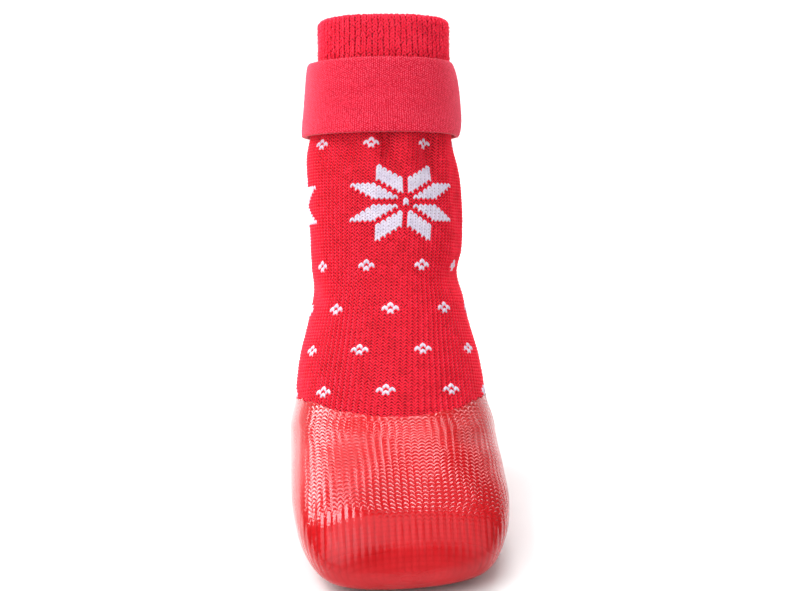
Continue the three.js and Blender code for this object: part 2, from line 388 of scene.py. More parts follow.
class Nodes:
    """A material's node tree, with one short call for each node that is used here."""

    def __init__(self, name):
        self.material = bpy.data.materials.new(name)
        self.material.use_nodes = True
        self.tree = self.material.node_tree

    def node(self, kind, **settings):
        made = self.tree.nodes.new(kind)
        for key, value in settings.items():
            setattr(made, key, value)
        return made

    def put(self, socket, value):
        if isinstance(value, bpy.types.NodeSocket):
            self.tree.links.new(value, socket)
        else:
            socket.default_value = value

    def fill(self, node, **inputs):
        """Sets or links inputs by their names, with _ for a space."""
        for key, value in inputs.items():
            self.put(node.inputs[key.replace("_", " ")], value)
        return node.outputs

    def math(self, operation, first, second=0.0):
        made = self.node("ShaderNodeMath", operation=operation)
        self.put(made.inputs[0], first)
        self.put(made.inputs[1], second)
        return made.outputs[0]

    def plus(self, first, second):
        return self.math("ADD", first, second)

    def times(self, first, second):
        return self.math("MULTIPLY", first, second)

    def scaled(self, value, factor, least):
        return self.plus(self.times(value, factor), least)

    def mixed(self, first, second, share):
        return self.plus(self.times(first, share), self.times(second, 1 - share))

    def noise(self, scale, detail=3.0, roughness=0.6, vector=None):
        place = vector or self.node("ShaderNodeTexCoord").outputs["Object"]
        made = self.node("ShaderNodeTexNoise")
        return self.fill(made, Scale=scale, Detail=detail, Roughness=roughness, Vector=place)["Fac"]

    def parts(self, vector):
        return self.fill(self.node("ShaderNodeSeparateXYZ"), Vector=vector)

    def ramp(self, factor, *stops):
        made = self.node("ShaderNodeValToRGB")
        elements = made.color_ramp.elements
        while len(elements) < len(stops):
            elements.new(0.5)
        for element, (position, colour) in zip(elements, stops):
            element.position = position
            element.color = (*colour, 1.0)
        return self.fill(made, Fac=factor)["Color"]

    def bump(self, height, strength, distance):
        made = self.node("ShaderNodeBump")
        return self.fill(made, Strength=strength, Distance=distance, Height=height)["Normal"]

    def finish(self, colour, **inputs):
        self.fill(self.tree.nodes["Principled BSDF"], Base_Color=colour, **inputs)
        return self.material


FIBRE_SCALE = 2600.0  # per metre, as all scales of noise: fibres of yarn and pile about 0.4 mm apart

# Dark, middle and light shade of each yarn, and the tint of its sheen
YARN_SHADES = {
    "red_yarn": ((0.66, 0.005, 0.019), (0.88, 0.009, 0.034), (0.98, 0.021, 0.062), (1.0, 0.35, 0.42)),
    "white_yarn": ((0.50, 0.44, 0.58), (0.66, 0.60, 0.72), (0.78, 0.73, 0.82), (1.0, 0.95, 1.0)),
    "cuff_yarn": ((0.71, 0.009, 0.036), (0.89, 0.016, 0.052), (0.97, 0.040, 0.086), (1.0, 0.35, 0.45)),
    # The two backings below are far darker than the yarns of their stitches: painted shade in the gaps
    # between the stitches and between the cuff's ribs
    "knit_backing_painted_shade": ((0.11, 0.001, 0.003), (0.16, 0.001, 0.004), (0.21, 0.002, 0.007), (0.3, 0.05, 0.07)),
    "cuff_backing_painted_shade": ((0.52, 0.004, 0.022), (0.62, 0.008, 0.034), (0.70, 0.016, 0.050), (0.9, 0.3, 0.38)),
    # The inside is darker than the red yarn: painted shade inside the tube
    "inside_yarn_painted_shade": ((0.30, 0.002, 0.010), (0.46, 0.004, 0.020), (0.60, 0.010, 0.035), (0.8, 0.2, 0.25)),
}


def yarn_material(name, dark, mid, light, sheen_tint):
    n = Nodes(name)
    shade = n.noise(scale=300.0, detail=4.0)
    fibre = n.noise(FIBRE_SCALE, detail=2.0)
    return n.finish(
        n.ramp(n.mixed(shade, fibre, share=0.6), (0.3, dark), (0.5, mid), (0.72, light)),
        Normal=n.bump(fibre, strength=0.35, distance=0.10 * MM),
        Roughness=0.85, Specular_IOR_Level=0.15,
        Sheen_Weight=0.30, Sheen_Roughness=0.5, Sheen_Tint=(*sheen_tint, 1.0),
    )


YARN = {name: yarn_material(name, *shades) for name, shades in YARN_SHADES.items()}

# The knit's relief in the rubber, most of it in the mesh and a finer share in the material
ARCH_DROP = 3.0  # rows that an arch drops by, for each square of a wale from its middle
ROW_HEIGHT = 0.085  # how far a row's arch stands up through the coat
RIB_HEIGHT = 0.085  # how far a rib of the knit does where it shows in full
ROW_BUMP = 0.030  # the material's own share of both, which keeps the valleys sharp
RIB_BUMP = 0.040
ROW_SWELL = (0.6, 0.7)  # an arch is highest in the middle of a wale: growth and least
SKIN_HEIGHT = 0.012
STREAK_LENGTH = 0.10  # how slowly the ribs change along their length, next to across them
VALLEY_SHADE = 0.42  # painted shade: how much darker the rubber's colour is made between the rows
RIB_SHADE = 0.4  # how much of that painted shade the ribs have
DULL_ROUGHNESS = 0.26  # how much rougher the rubber is where it is dull


def rubber_material():
    n = Nodes("dipped_rubber")
    wale, course, _ = n.parts(n.node("ShaderNodeUVMap", uv_map=STITCH_UV).outputs["UV"])
    shows = n.node("ShaderNodeAttribute", attribute_name=KNIT_SHOWS).outputs["Vector"]
    rows_show, ribs_show, dull = n.parts(shows)

    def rounded(count):
        """Round backs with sharp valleys between them, one high in all and level on the whole."""
        off_middle = n.math("SUBTRACT", n.math("FRACT", count), 0.5)
        return n.math("SUBTRACT", 1 / 3, n.times(n.times(off_middle, off_middle), 4.0))

    columns = rounded(n.plus(wale, 0.5))
    arches = n.times(n.times(rounded(course), n.scaled(columns, *ROW_SWELL)), rows_show)
    along = n.fill(n.node("ShaderNodeCombineXYZ"), X=wale, Y=n.times(course, STREAK_LENGTH))[0]
    streaks = n.times(n.noise(scale=1.0, detail=2.0, vector=along), 2.0)  # about 1 on the whole
    ribs = n.times(n.times(columns, streaks), ribs_show)
    # In patches the knit shows more and the rubber shines less
    patches = n.noise(scale=110.0, detail=2.0)
    strength = n.scaled(patches, factor=1.3, least=0.25)
    rough = n.scaled(n.times(patches, patches), factor=0.28, least=0.07)
    knit = n.plus(n.times(arches, ROW_BUMP), n.times(ribs, RIB_BUMP))
    height = n.plus(n.times(knit, strength), n.times(n.noise(scale=1100.0), SKIN_HEIGHT))
    # Painted shade: the colour is darker in the valleys between the rows and the ribs
    painted_shade = n.times(n.plus(arches, n.times(ribs, RIB_SHADE)), VALLEY_SHADE)
    clouds = n.scaled(n.noise(scale=60.0), factor=0.5, least=0.27)
    tone = n.plus(clouds, n.times(painted_shade, strength))
    dark, mid, light = (0.20, 0.002, 0.003), (0.40, 0.004, 0.006), (0.53, 0.010, 0.014)
    return n.finish(
        n.ramp(tone, (0.25, dark), (0.5, mid), (0.75, light)),
        Normal=n.bump(height, strength=1.0, distance=MM),
        Roughness=n.plus(rough, n.times(dull, DULL_ROUGHNESS)),
        Specular_IOR_Level=0.42, Specular_Tint=(1.0, 0.66, 0.72, 1.0),
    )


RUBBER = rubber_material()


def strap_material(name, dark, mid, light):
    n = Nodes(name)
    pile = n.noise(FIBRE_SCALE, roughness=0.7)
    speck = n.noise(scale=1500.0, detail=1.0)
    patch = n.noise(scale=90.0)
    return n.finish(
        n.ramp(n.mixed(speck, patch, share=0.75), (0.32, dark), (0.5, mid), (0.66, light)),
        Normal=n.bump(pile, strength=0.6, distance=0.15 * MM),
        Roughness=0.75, Specular_IOR_Level=0.08,
        Sheen_Weight=0.5, Sheen_Roughness=0.45, Sheen_Tint=(1.0, 0.45, 0.52, 1.0),
    )


# The band is darker than its pile: painted shade in the gaps between the loops
STRAP = strap_material("strap_ground_painted_shade", (0.46, 0.006, 0.022), (0.56, 0.010, 0.032), (0.64, 0.016, 0.042))
PILE = strap_material("strap_pile", (0.74, 0.052, 0.105), (0.80, 0.070, 0.130), (0.86, 0.090, 0.155))


# The knitted wall under the stitches: inside face, rim and backing, one closed shell

BACKING_DEPTH = 0.45  # the wall's outer face lies this far under the stitches' own face
INSIDE_END = STATION["toe_front"] - 0.1
WALL_COLUMNS = 88
WALL_INSIDE_ROWS = 60
WALL_OUTSIDE_ROWS = 70
WALL_RIM = (0.0, 0.03, 0.08)  # stations of the rim's own rows
WALL_RIM_END = 0.15
WALL_RIM_DROP = 0.5  # how far the rim is rounded off
INSIDE_SLOT, BACKING_SLOT, CUFF_SLOT = range(3)


def knit_wall():
    turns = np.arange(WALL_COLUMNS) / WALL_COLUMNS
    inside = np.linspace(0.0, INSIDE_END, WALL_INSIDE_ROWS)[::-1]
    outside = np.concatenate([WALL_RIM, np.linspace(WALL_RIM_END, LAST_STATION, WALL_OUTSIDE_ROWS)])
    rounded = WALL_RIM_DROP * (1 - smoothstep(outside, WALL_RIM[0], WALL_RIM[-1]))
    lifts = np.concatenate([np.full(len(inside), -KNIT_WALL), cuff_lift(outside) - BACKING_DEPTH - rounded])
    stations = np.concatenate([inside, outside])
    points, faces = closed_rings(form.skin(stations[:, None], turns, lifts[:, None]))
    outside_slots = np.where(outside[:-1] < STRAP_TOP, CUFF_SLOT, BACKING_SLOT)
    row_slots = np.concatenate([np.full(len(inside), INSIDE_SLOT), outside_slots])
    slots = np.append(np.repeat(row_slots, WALL_COLUMNS), np.full(len(faces[1]), INSIDE_SLOT))
    materials = [YARN["inside_yarn_painted_shade"], YARN["knit_backing_painted_shade"], YARN["cuff_backing_painted_shade"]]
    dress(add_piece("knit_wall", points, faces, materials, slots), "knit", "knit_upper")


# Stitches: one arched loop of yarn each, its two legs spreading downwards

# From the crown to a leg's end: across in wales, down in courses, depth and yarn radius in millimetres
LOOP_HALF = np.array([
    (0.00, -0.50, -0.13, 0.195),
    (0.17, -0.18, -0.02, 0.195),
    (0.34, 0.22, -0.02, 0.195),
    (0.50, 0.62, -0.22, 0.18),
])
OTHER_HALF = LOOP_HALF[:0:-1] * np.array([-1, 1, 1, 1])
LOOP_ACROSS, LOOP_DOWN, LOOP_DEPTH, LOOP_RADIUS = np.concatenate([OTHER_HALF, LOOP_HALF]).T
YARN_SIDES = 4
YARN_FLATNESS = 0.95


def add_loops(name, paths, normals, radii, slots, materials):
    """Closed tubes of yarn along many paths at once: (tubes, steps, 3) points and surface normals."""
    tubes, steps, _ = paths.shape
    ahead = unit(np.gradient(paths, axis=1))
    side = unit(np.cross(normals, ahead))
    up = np.cross(ahead, side)
    angle = 2 * math.pi * np.arange(YARN_SIDES) / YARN_SIDES
    ring = np.cos(angle)[:, None] * side[:, :, None, :]
    ring = ring + YARN_FLATNESS * np.sin(angle)[:, None] * up[:, :, None, :]
    points = paths[:, :, None, :] + radii[..., None, None] * ring
    index = np.arange(steps * YARN_SIDES).reshape(steps, YARN_SIDES)
    quads = ring_quads(steps, YARN_SIDES)[:, [0, 3, 2, 1]]
    tube = np.concatenate([quads, index[:1, ::-1], index[-1:]])
    faces = copies(tubes, index.size, tube)
    dress(add_piece(name, points, faces, materials, np.repeat(slots, len(tube))), "knit")


# The pattern, charted
STAR_ROWS = 24
STAR_WALES = (3, 32, 61)
MOTIF_ROWS = ((3, 7), (42, 7), (55, 1), (68, 7), (81, 1))  # small diamonds: middle course, first wale
MOTIF_REPEAT = 11
MOTIF = ((0, -1), (-1, 0), (1, 0), (0, 1))
ARM_LENGTH = 5
STAR_FULLER = 0.55  # the white yarn is this much thicker in the stars
MOTIF_FULLER = 0.92  # and this much in the small diamonds, where each stitch stands alone


def star_stitches():
    """(wale, row) pairs of one star, counted from its middle wale and its top row."""
    quarter = {(0, STAR_ROWS // 2 - 1)}
    for arm in range(ARM_LENGTH):
        quarter |= {(arm - ARM_LENGTH, row) for row in range(arm, arm + ARM_LENGTH)}
        quarter |= {(wale, ARM_LENGTH + 1 + arm) for wale in range(arm - 2 * ARM_LENGTH, arm - ARM_LENGTH)}
    halves = quarter | {(-wale, row) for wale, row in quarter}
    return halves | {(wale, STAR_ROWS - 1 - row) for wale, row in halves}


def white_chart(courses):
    """How much thicker the white yarn is at each course and wale, and 0 where the stitch is red."""
    chart = np.zeros((len(courses), WALES))
    first = courses[0]
    star_top = int(STAR_COURSE - STAR_ROWS / 2 + 0.5)
    for centre in STAR_WALES:
        for wale, row in star_stitches():
            chart[star_top + row - first, (centre + wale) % WALES] = STAR_FULLER
    for course, phase in MOTIF_ROWS:
        for wale in range(phase, phase + WALES, MOTIF_REPEAT):
            for step, row in MOTIF:
                chart[course + row - first, (wale + step) % WALES] = MOTIF_FULLER
    return chart


LEG_PIECES = ("stitches_star_band", "stitches_ankle", "stitches_instep", "stitches_heel")
STRETCH_POWER = 0.9  # how much fuller the yarn lies where the rows are further apart
STRETCH_MOST = 2.0
LOOSENESS = 0.022  # how far a stitch wanders, in wales and courses
DEPTH_SPREAD = 0.015
FULL_SPREAD = 0.03


def row_stretch(course, wale):
    """How far apart the rows lie at each stitch, next to the rows down the front of the leg."""
    stations = course_station(np.stack([course - 0.5, course + 0.5]))
    points, _ = form.at(stations, wale_turn(stations, wale))
    return np.clip(np.linalg.norm(points[1] - points[0], axis=-1) / COURSE, 1.0, STRETCH_MOST)


def leg_stitches():
    rng = np.random.default_rng(SEED)
    courses = np.arange(-COURSES_UNDER_STRAP, int(station_course(LAST_STATION)))
    course, wale = pairs(courses, np.arange(WALES))
    centre_station = course_station(course)
    centre, _ = form.at(centre_station, wale_turn(centre_station, wale))
    shown = above_dip(centre) > -COURSES_UNDER_COAT * COURSE
    course, wale, fuller = course[shown], wale[shown], white_chart(courses).reshape(-1)[shown]
    loose = rng.normal(0.0, LOOSENESS, (len(course), 2))
    wide = 1 + rng.normal(0.0, LOOSENESS, len(course))
    stations = course_station(course[:, None] + loose[:, 1:] + LOOP_DOWN)
    turns = wale_turn(stations, wale[:, None] + loose[:, :1] + LOOP_ACROSS * wide[:, None])
    points, normals = form.at(stations, turns)
    depth = LOOP_DEPTH + rng.normal(0.0, DEPTH_SPREAD, (len(course), 1))
    paths = points + normals * depth[..., None]
    full = 1 + fuller + rng.normal(0.0, FULL_SPREAD, len(course))
    radii = LOOP_RADIUS * (full * row_stretch(course, wale) ** STRETCH_POWER)[:, None]
    white = (fuller > 0).astype(int)
    yarns = [YARN["red_yarn"], YARN["white_yarn"]]
    for name, share in zip(LEG_PIECES, np.array_split(np.arange(len(course)), len(LEG_PIECES))):
        add_loops(name, paths[share], normals[share], radii[share], white[share], yarns)


# The cuff: narrow ribs that run up and over the rim

RIM_HALF = 0.5 * (KNIT_WALL + CUFF_STEP)
RIM_STEP = 0.3  # stations, to take the way up from
CUFF_RIBS = 70
CUFF_COURSE = 0.90
CUFF_COURSES_OVER_RIM = 3
CUFF_OVERLAP = 1.05
CUFF_SPREAD = 0.05  # how far a stitch of the cuff wanders
RIB_RISE = 0.04
RIB_WIDE = 0.76  # how wide a rib's stitches are, next to the space that a rib has
RIB_WIDE_SPREAD = 0.08
CUFF_FULLER = 0.35  # the cuff's yarn is this much thicker


def cuff_surface(depths, turns):
    """Points and normals at a depth below the rim. Above the rim the surface bends over to the inside."""
    stations = form.station_at(np.maximum(depths, 0.0) + RIM_HALF)
    points, normals = form.at(stations, turns)
    angle = np.clip(-depths / RIM_HALF, 0.0, math.pi)
    top, _ = form.at(np.zeros_like(stations), turns)
    below, _ = form.at(np.full_like(stations, RIM_STEP), turns)
    upward = unit(top - below)
    swing_out = cuff_lift(stations) - RIM_HALF + RIM_HALF * np.cos(angle)
    points = points + normals * swing_out[..., None] + upward * (RIM_HALF * np.sin(angle))[..., None]
    return points, unit(normals * np.cos(angle)[..., None] + upward * np.sin(angle)[..., None])


def cuff_stitches():
    rng = np.random.default_rng(SEED + 1)
    visible = form.run_at(STRAP_TOP) / CUFF_COURSE
    courses = np.arange(-CUFF_COURSES_OVER_RIM, int(visible) + 2)
    course, rib = pairs(courses, np.arange(CUFF_RIBS))
    wide = RIB_WIDE * (1 + rng.normal(0, RIB_WIDE_SPREAD, len(course)))
    rise = RIB_RISE + rng.normal(0, CUFF_SPREAD, len(course))
    loose = rng.normal(0.0, CUFF_SPREAD, (len(course), 2))
    turns = (rib[:, None] + loose[:, :1] + LOOP_ACROSS * wide[:, None]) / CUFF_RIBS
    depths = (course[:, None] + 0.5 + loose[:, 1:] + LOOP_DOWN * CUFF_OVERLAP) * CUFF_COURSE
    points, normals = cuff_surface(depths, turns)
    paths = points + normals * (LOOP_DEPTH + rise[:, None])[..., None]
    radii = np.broadcast_to(LOOP_RADIUS * (1 + CUFF_FULLER), paths.shape[:2])
    add_loops("cuff_ribs", paths, normals, radii, np.zeros(len(course), int), [YARN["cuff_yarn"]])


# The rubber coat

COAT_WALES = 76
COAT_WALE_WIDTHS = ((7.0, 8.0, 9.5), (1.66, 1.70, 1.58))  # stations and widths
COAT_STRETCH = 1.27  # how far apart the rows are under the coat, next to the leg's rows
WALE_STEPS = 6  # mesh columns in a wale
COURSE_STEPS = 4  # mesh rows in a row of stitches
COAT_COLUMNS = COAT_WALES * WALE_STEPS
INNER_ROWS = 14
INNER_POINTS = INNER_ROWS * COAT_COLUMNS
SHORTEST_STEP = 0.4  # the least height of a face at the dip line, in mesh rows
DIP_SEARCH_STEPS = 400
STATION_LENGTH = 9.0  # about how long a station is on the instep, in millimetres
EDGE_STEP = 0.5  # rows that the coat's edge drops by, for each wale from a wale's middle
EDGE_SPREAD = 0.2  # rows that it wanders by from wale to wale
COAT_EDGE = 0.35  # the coat's lift at the dip line, where it is a thin skin on the stitches
COAT_EDGE_REACH = 9.0
COAT_EDGE_GAP = (2.0, 0.1)  # the inside's own lift from there: growth and least
COAT_FLOOR = 0.0
TOE_CROWN = 0.2
SOLE_FACING = (0.2, 0.9)  # how far a face looks down as the coat grows thicker
SEAM_SHOWN = 0.15  # how high the toe seam's ridge stands where it shows
SEAM_SPREAD = 0.32
SEAM_FRONT = (-0.2, 0.4)  # it shows in front, as a cosine of the turn
ARCHES_END = (STATION["ball"] + 0.5, TOE_SEAM + 0.9)  # stations over which arches straighten out

# The knit shows through the coat on the instep and round the toe
TOE_LOOK = (TOE_SEAM - 0.45, TOE_SEAM + 0.45)  # stations over which rows give way to ribs
TOE_RAGGED = 0.09  # how far that wanders from wale to wale
TOE_EARLY = 0.55  # how much sooner it comes at the -X side
TOE_EARLY_X = (-4.0, -14.0)
ROWS_ON_TOE = 0.25
RIBS_ON_RIGHT = 0.35
RIBS_RIGHT_X = (4.0, 18.0)
RIBS_ON_TOE = 1.00
RIBS_UNDER_TOE = 0.45
RIBS_COUNTED = 60  # to either side of the front line
RIB_UNEVEN = (0.6, 1.4)
SEEN_HEIGHT = (1.5, 7.0)  # the coat is smooth underneath, fading in over these z
SEEN_FACING = (-0.7, -0.2)  # and where it looks down
SEEN_FROM_BACK = (0.04, 0.09)  # and along the back line, in turns from it
PLAIN_SIDE = (-26.0, -18.0)  # and at the -X side, in x
VALLEY_SHOWN = 0.4  # valleys have a sharp edge where the rows show more than this
DULL_TOE = (TOE_SEAM, TOE_SEAM + 2.2)
DULL_PATCH_X = (-12.0, 9.0)  # middle and reach of a patch where the coat is dull
DULL_PATCH_STATION = (8.7, 1.4)
DULL_PATCH_ROWS = 0.90  # how much of the rows is left in it
DULL_PATCH_SHARE = 0.60  # how dull it is next to the toe


def coat_turn(stations, wales):
    """Where a wale under the coat lies round the section at a station."""
    return spread_turn(stations, wales + TWIST, COAT_WALES, COAT_WALE_WIDTHS)


def rib_count(stations, turns):
    """Ribs counted along the coat from its front line, where they lie side by side at their own width."""
    return -TWIST + off_whole(turns) * form.round_at(stations) / np.interp(stations, *COAT_WALE_WIDTHS)


def dip_stations(wales):
    """The station where each wale's line from collar to toe crosses the dip line."""
    stations = np.linspace(STATION["star"], LAST_STATION, DIP_SEARCH_STEPS)[:, None]
    points, _ = form.at(stations, coat_turn(stations, wales[None, :]))
    height = above_dip(points)
    first = np.argmax(height < 0, axis=0)
    column = np.arange(len(wales))
    high, low = height[first - 1, column], height[first, column]
    step = stations[1, 0] - stations[0, 0]
    return stations[first - 1, 0] + step * high / (high - low)


def coat_lift(stations, turns, normals, from_edge):
    underneath = smoothstep(-normals[..., 2], *SOLE_FACING)
    thick = COAT_GAP + COAT_SIDE + (COAT_SOLE - COAT_SIDE) * underneath
    on_top = smoothstep(np.cos(2 * math.pi * turns), *SEAM_FRONT)
    lift = COAT_EDGE + (thick - COAT_EDGE) * smoothstep(from_edge, 0.0, COAT_EDGE_REACH)
    return lift + SEAM_SHOWN * hump(stations, TOE_SEAM, SEAM_SPREAD) * on_top


def knit_shows(stations, wales, turns, points, normals):
    """How much the rows and the ribs of the knit show through the coat and how dull it is, from 0 to 1."""
    rng = np.random.default_rng(SEED + 5)
    x, _, z = np.moveaxis(points, -1, 0)
    ragged = np.interp(wales, np.arange(COAT_WALES + 1), rng.normal(0, TOE_RAGGED, COAT_WALES + 1))
    at_toe = smoothstep(stations + ragged + TOE_EARLY * smoothstep(x, *TOE_EARLY_X), *TOE_LOOK)
    from_back = 0.5 - np.abs(off_whole(turns))
    seen = smoothstep(z, *SEEN_HEIGHT) * smoothstep(from_back, *SEEN_FROM_BACK)
    seen = seen * smoothstep(x, *PLAIN_SIDE) * smoothstep(normals[..., 2], *SEEN_FACING)
    dull = smoothstep(stations, *DULL_TOE)
    ribs = RIBS_ON_RIGHT * smoothstep(x, *RIBS_RIGHT_X)
    ribs = ribs + (RIBS_ON_TOE + (RIBS_UNDER_TOE - RIBS_ON_TOE) * dull - ribs) * at_toe
    patch = hump(x, *DULL_PATCH_X) * hump(stations, *DULL_PATCH_STATION)
    rows = (1 + (ROWS_ON_TOE - 1) * at_toe) * (1 - (1 - DULL_PATCH_ROWS) * patch)
    return np.stack([seen * rows, seen * ribs, np.maximum(dull, DULL_PATCH_SHARE * patch)], axis=-1)


def rounded_backs(count):
    """Round backs with sharp valleys at whole numbers, one high in all and level on the whole."""
    return 1 / 3 - 4 * (np.mod(count, 1.0) - 0.5) ** 2


def coat_relief(lattice, wales, rib, shows):
    """How far the rows and the ribs of the knit stand up through the coat."""
    rng = np.random.default_rng(SEED + 6)
    growth, least = ROW_SWELL
    rows = rounded_backs(lattice / COURSE_STEPS) * (least + growth * rounded_backs(wales + 0.5))
    counted = np.arange(-RIBS_COUNTED, RIBS_COUNTED + 1)
    ribs = 0.5 * np.cos(2 * math.pi * rib) * np.interp(rib, counted, rng.uniform(*RIB_UNEVEN, len(counted)))
    return ROW_HEIGHT * rows * shows[..., 0] + RIB_HEIGHT * ribs * shows[..., 1]


def coat_lattice():
    """Mesh rows, wales, stations, first rows, dip line and edge of the outside, which follow the arches."""
    rng = np.random.default_rng(SEED + 2)
    wales = np.arange(COAT_COLUMNS) / WALE_STEPS
    off_middle = off_whole(wales)
    drop = ARCH_DROP * off_middle**2
    dip = dip_stations(wales)
    wander = np.append(rng.normal(0, EDGE_SPREAD, COAT_WALES), 0.0)
    wander = np.interp(wales, np.arange(COAT_WALES + 1), wander)
    edge = dip + (EDGE_STEP * np.abs(off_middle) + wander) * COURSE / STATION_LENGTH
    edge_row = (station_course(edge) / COAT_STRETCH - drop) * COURSE_STEPS
    tops = np.ceil(edge_row + SHORTEST_STEP).astype(int) - 1
    last_row = int(station_course(LAST_STATION) / COAT_STRETCH * COURSE_STEPS)
    rows = np.arange(tops.min(), last_row + 1)[:, None]
    lattice = np.where(rows <= tops, edge_row, rows)
    level_station = course_station(lattice / COURSE_STEPS * COAT_STRETCH)
    drop = drop * (1 - smoothstep(level_station, *ARCHES_END))
    stations = course_station((lattice / COURSE_STEPS + drop) * COAT_STRETCH)
    stations[-1] = LAST_STATION
    return lattice, wales, stations, tops - tops.min(), dip, edge


def trimmed_rings(tops, rows):
    """Faces between rings of points where each column begins at its own row. Returns quads and triangles."""
    columns = len(tops)
    index = np.maximum(np.arange(rows)[:, None], tops) * columns + np.arange(columns)
    beside = np.roll(index, -1, axis=1)
    here, below, right, right_below = index[:-1], index[1:], beside[:-1], beside[1:]
    open_here = here != below
    open_right = right != right_below
    quads = np.stack([here, below, right_below, right], axis=-1)[open_here & open_right]
    left_corners = np.stack([here, below, right_below], axis=-1)[open_here & ~open_right]
    right_corners = np.stack([below, right_below, right], axis=-1)[~open_here & open_right]
    return quads, np.concatenate([left_corners, right_corners])


def coat_faces(tops, rows):
    """One closed shell: from the inner toe up to the dip line, over its edge and down to the outer toe."""
    column = np.arange(COAT_COLUMNS)
    inner_top = INNER_POINTS - COAT_COLUMNS + column
    outer_top = INNER_POINTS + tops * COAT_COLUMNS + column
    rim = np.stack([inner_top, outer_top, np.roll(outer_top, -1), np.roll(inner_top, -1)], axis=-1)
    quads, corners = trimmed_rings(tops, rows)
    middle = INNER_POINTS + rows * COAT_COLUMNS
    tips = [fan(column, middle), fan(middle - COAT_COLUMNS + column, middle + 1)[:, ::-1]]
    return [
        np.concatenate([ring_quads(INNER_ROWS, COAT_COLUMNS), rim, quads + INNER_POINTS]),
        np.concatenate([corners + INNER_POINTS, *tips]),
    ]


def rubber_coat():
    lattice, wales, stations, tops, dip, edge = coat_lattice()
    turns = coat_turn(stations, wales)
    points, normals = form.at(stations, turns)
    dip_points, _ = form.at(dip, coat_turn(dip, wales))
    shows = knit_shows(stations, wales, turns, points, normals)
    rib = rib_count(stations, turns)
    lift = coat_lift(stations, turns, normals, np.linalg.norm(points - dip_points, axis=-1))
    lift = lift + coat_relief(lattice, wales, rib, shows)
    outer = points + normals * lift[..., None]
    outer[..., 2] = np.maximum(outer[..., 2], COAT_FLOOR)
    inside_share = np.linspace(1.0, 0.0, INNER_ROWS)[:, None]
    inside_stations = edge + inside_share * (LAST_STATION - edge)
    growth, least = COAT_EDGE_GAP
    inside_lift = np.minimum(COAT_GAP, least + growth * inside_share)
    inner = form.skin(inside_stations, coat_turn(inside_stations, wales), inside_lift)
    crown = np.array([0.0, -TOE_CROWN, 0.0])
    ends = [inner[0].mean(axis=0) + crown, outer[-1].mean(axis=0) + crown]
    flat = np.concatenate([inner.reshape(-1, 3), outer.reshape(-1, 3), ends])
    # Valleys: 1 between the rows of stitches, 2 between the wales
    between_rows = (np.mod(lattice, COURSE_STEPS) == 0) * 1
    between_wales = (np.mod(np.arange(COAT_COLUMNS), WALE_STEPS) == WALE_STEPS // 2) * 2
    valleys = (between_rows + between_wales) * (shows[..., 0] > VALLEY_SHOWN)
    # Zeros for the inside's points, which come first, and for both ends
    others = (INNER_POINTS, len(ends))
    uv = np.pad(np.stack([rib, lattice / COURSE_STEPS], axis=-1).reshape(-1, 2), (others, (0, 0)))
    shows = np.pad(shows.reshape(-1, 3), (others, (0, 0)))
    valleys = np.pad(valleys.reshape(-1), others)
    # Points above the edge are left out
    faces = coat_faces(tops, len(stations))
    used = np.unique(np.concatenate([block.reshape(-1) for block in faces]))
    faces = [np.searchsorted(used, block) for block in faces]
    piece = add_piece(
        "rubber_coat", flat[used], faces, [RUBBER], uv=uv[used], shows=shows[used], valleys=valleys[used]
    )
    dress(piece, "rubber", "rubber_sole")


# The strap

STRAP_STEPS = 240
STRAP_EDGE_POINTS = 40
STRAP_EDGE_POWER = 5.0
STRAP_BOW = 1.0  # how far the strap stands off at the left, where it is pulled round
STRAP_BOW_TURN = (0.77, 0.09)  # middle and reach
STRAP_CUP = 1.2  # how far both edges of the strap turn in at the right
STRAP_CUP_TURN = (1.25, 0.09)
STRAP_TURNS = 1 + STRAP_LAP
STRAP_LENGTH = STRAP_TURNS * form.round_at(STATION["strap_mid"])
NEARBY = 0.02  # stations, to take the way down from
PILE_ACROSS = 0.52  # between columns of loops
PILE_DOWN = 0.56
PILE_SIZE = np.array([0.22, 0.27, 0.27])  # half sizes of a loop: across, down and out
PILE_SIZE_SPREAD = 0.12
PILE_SPREAD = 0.05  # how far a loop wanders
PILE_SINK = 0.05
PILE_EDGE = 0.99  # share of the band's width that is covered

# A bead's corners are +side, +down, +out, -side, -down, -out
BEAD_FACES = np.array([
    (0, 2, 1), (1, 2, 3), (3, 2, 4), (4, 2, 0), (1, 5, 0), (3, 5, 1), (4, 5, 3), (0, 5, 4),
])
BEAD_CORNERS = 6


def squared(value):
    return np.sign(value) * np.abs(value) ** (2 / STRAP_EDGE_POWER)


def strap_half_width(share):
    """Half of the band's width, as a share of the whole, less near the rounded free end."""
    short = np.clip(STRAP_TIP_ROUND - STRAP_LENGTH * (1 - share), 0.0, STRAP_TIP_ROUND)
    corner = STRAP_TIP_ROUND - np.sqrt(STRAP_TIP_ROUND**2 - short**2)
    return 0.5 * (1 - corner / (STRAP_WIDTH / 2))


def strap_place(share, high, out):
    """Stations, turns and lifts on the band: share along it, high from top to bottom, out from its inside."""
    turns = STRAP_START + STRAP_TURNS * share
    layer = smoothstep(turns, STRAP_START + 1 - STRAP_RAMP, STRAP_START + 1)
    bow = STRAP_BOW * hump(turns, *STRAP_BOW_TURN)
    cup = STRAP_CUP * np.abs(2 * high - 1) ** 3 * hump(turns, *STRAP_CUP_TURN)
    stations = STRAP_TOP + (STRAP_BOTTOM - STRAP_TOP) * high
    cuff_under = CUFF_STEP * (1 - smoothstep(stations, STRAP_TOP, STRAP_BOTTOM))
    lift = cuff_under + STRAP_STAND + bow - cup + layer * (STRAP_THICKNESS + COAT_GAP) + out
    return stations, turns, lift


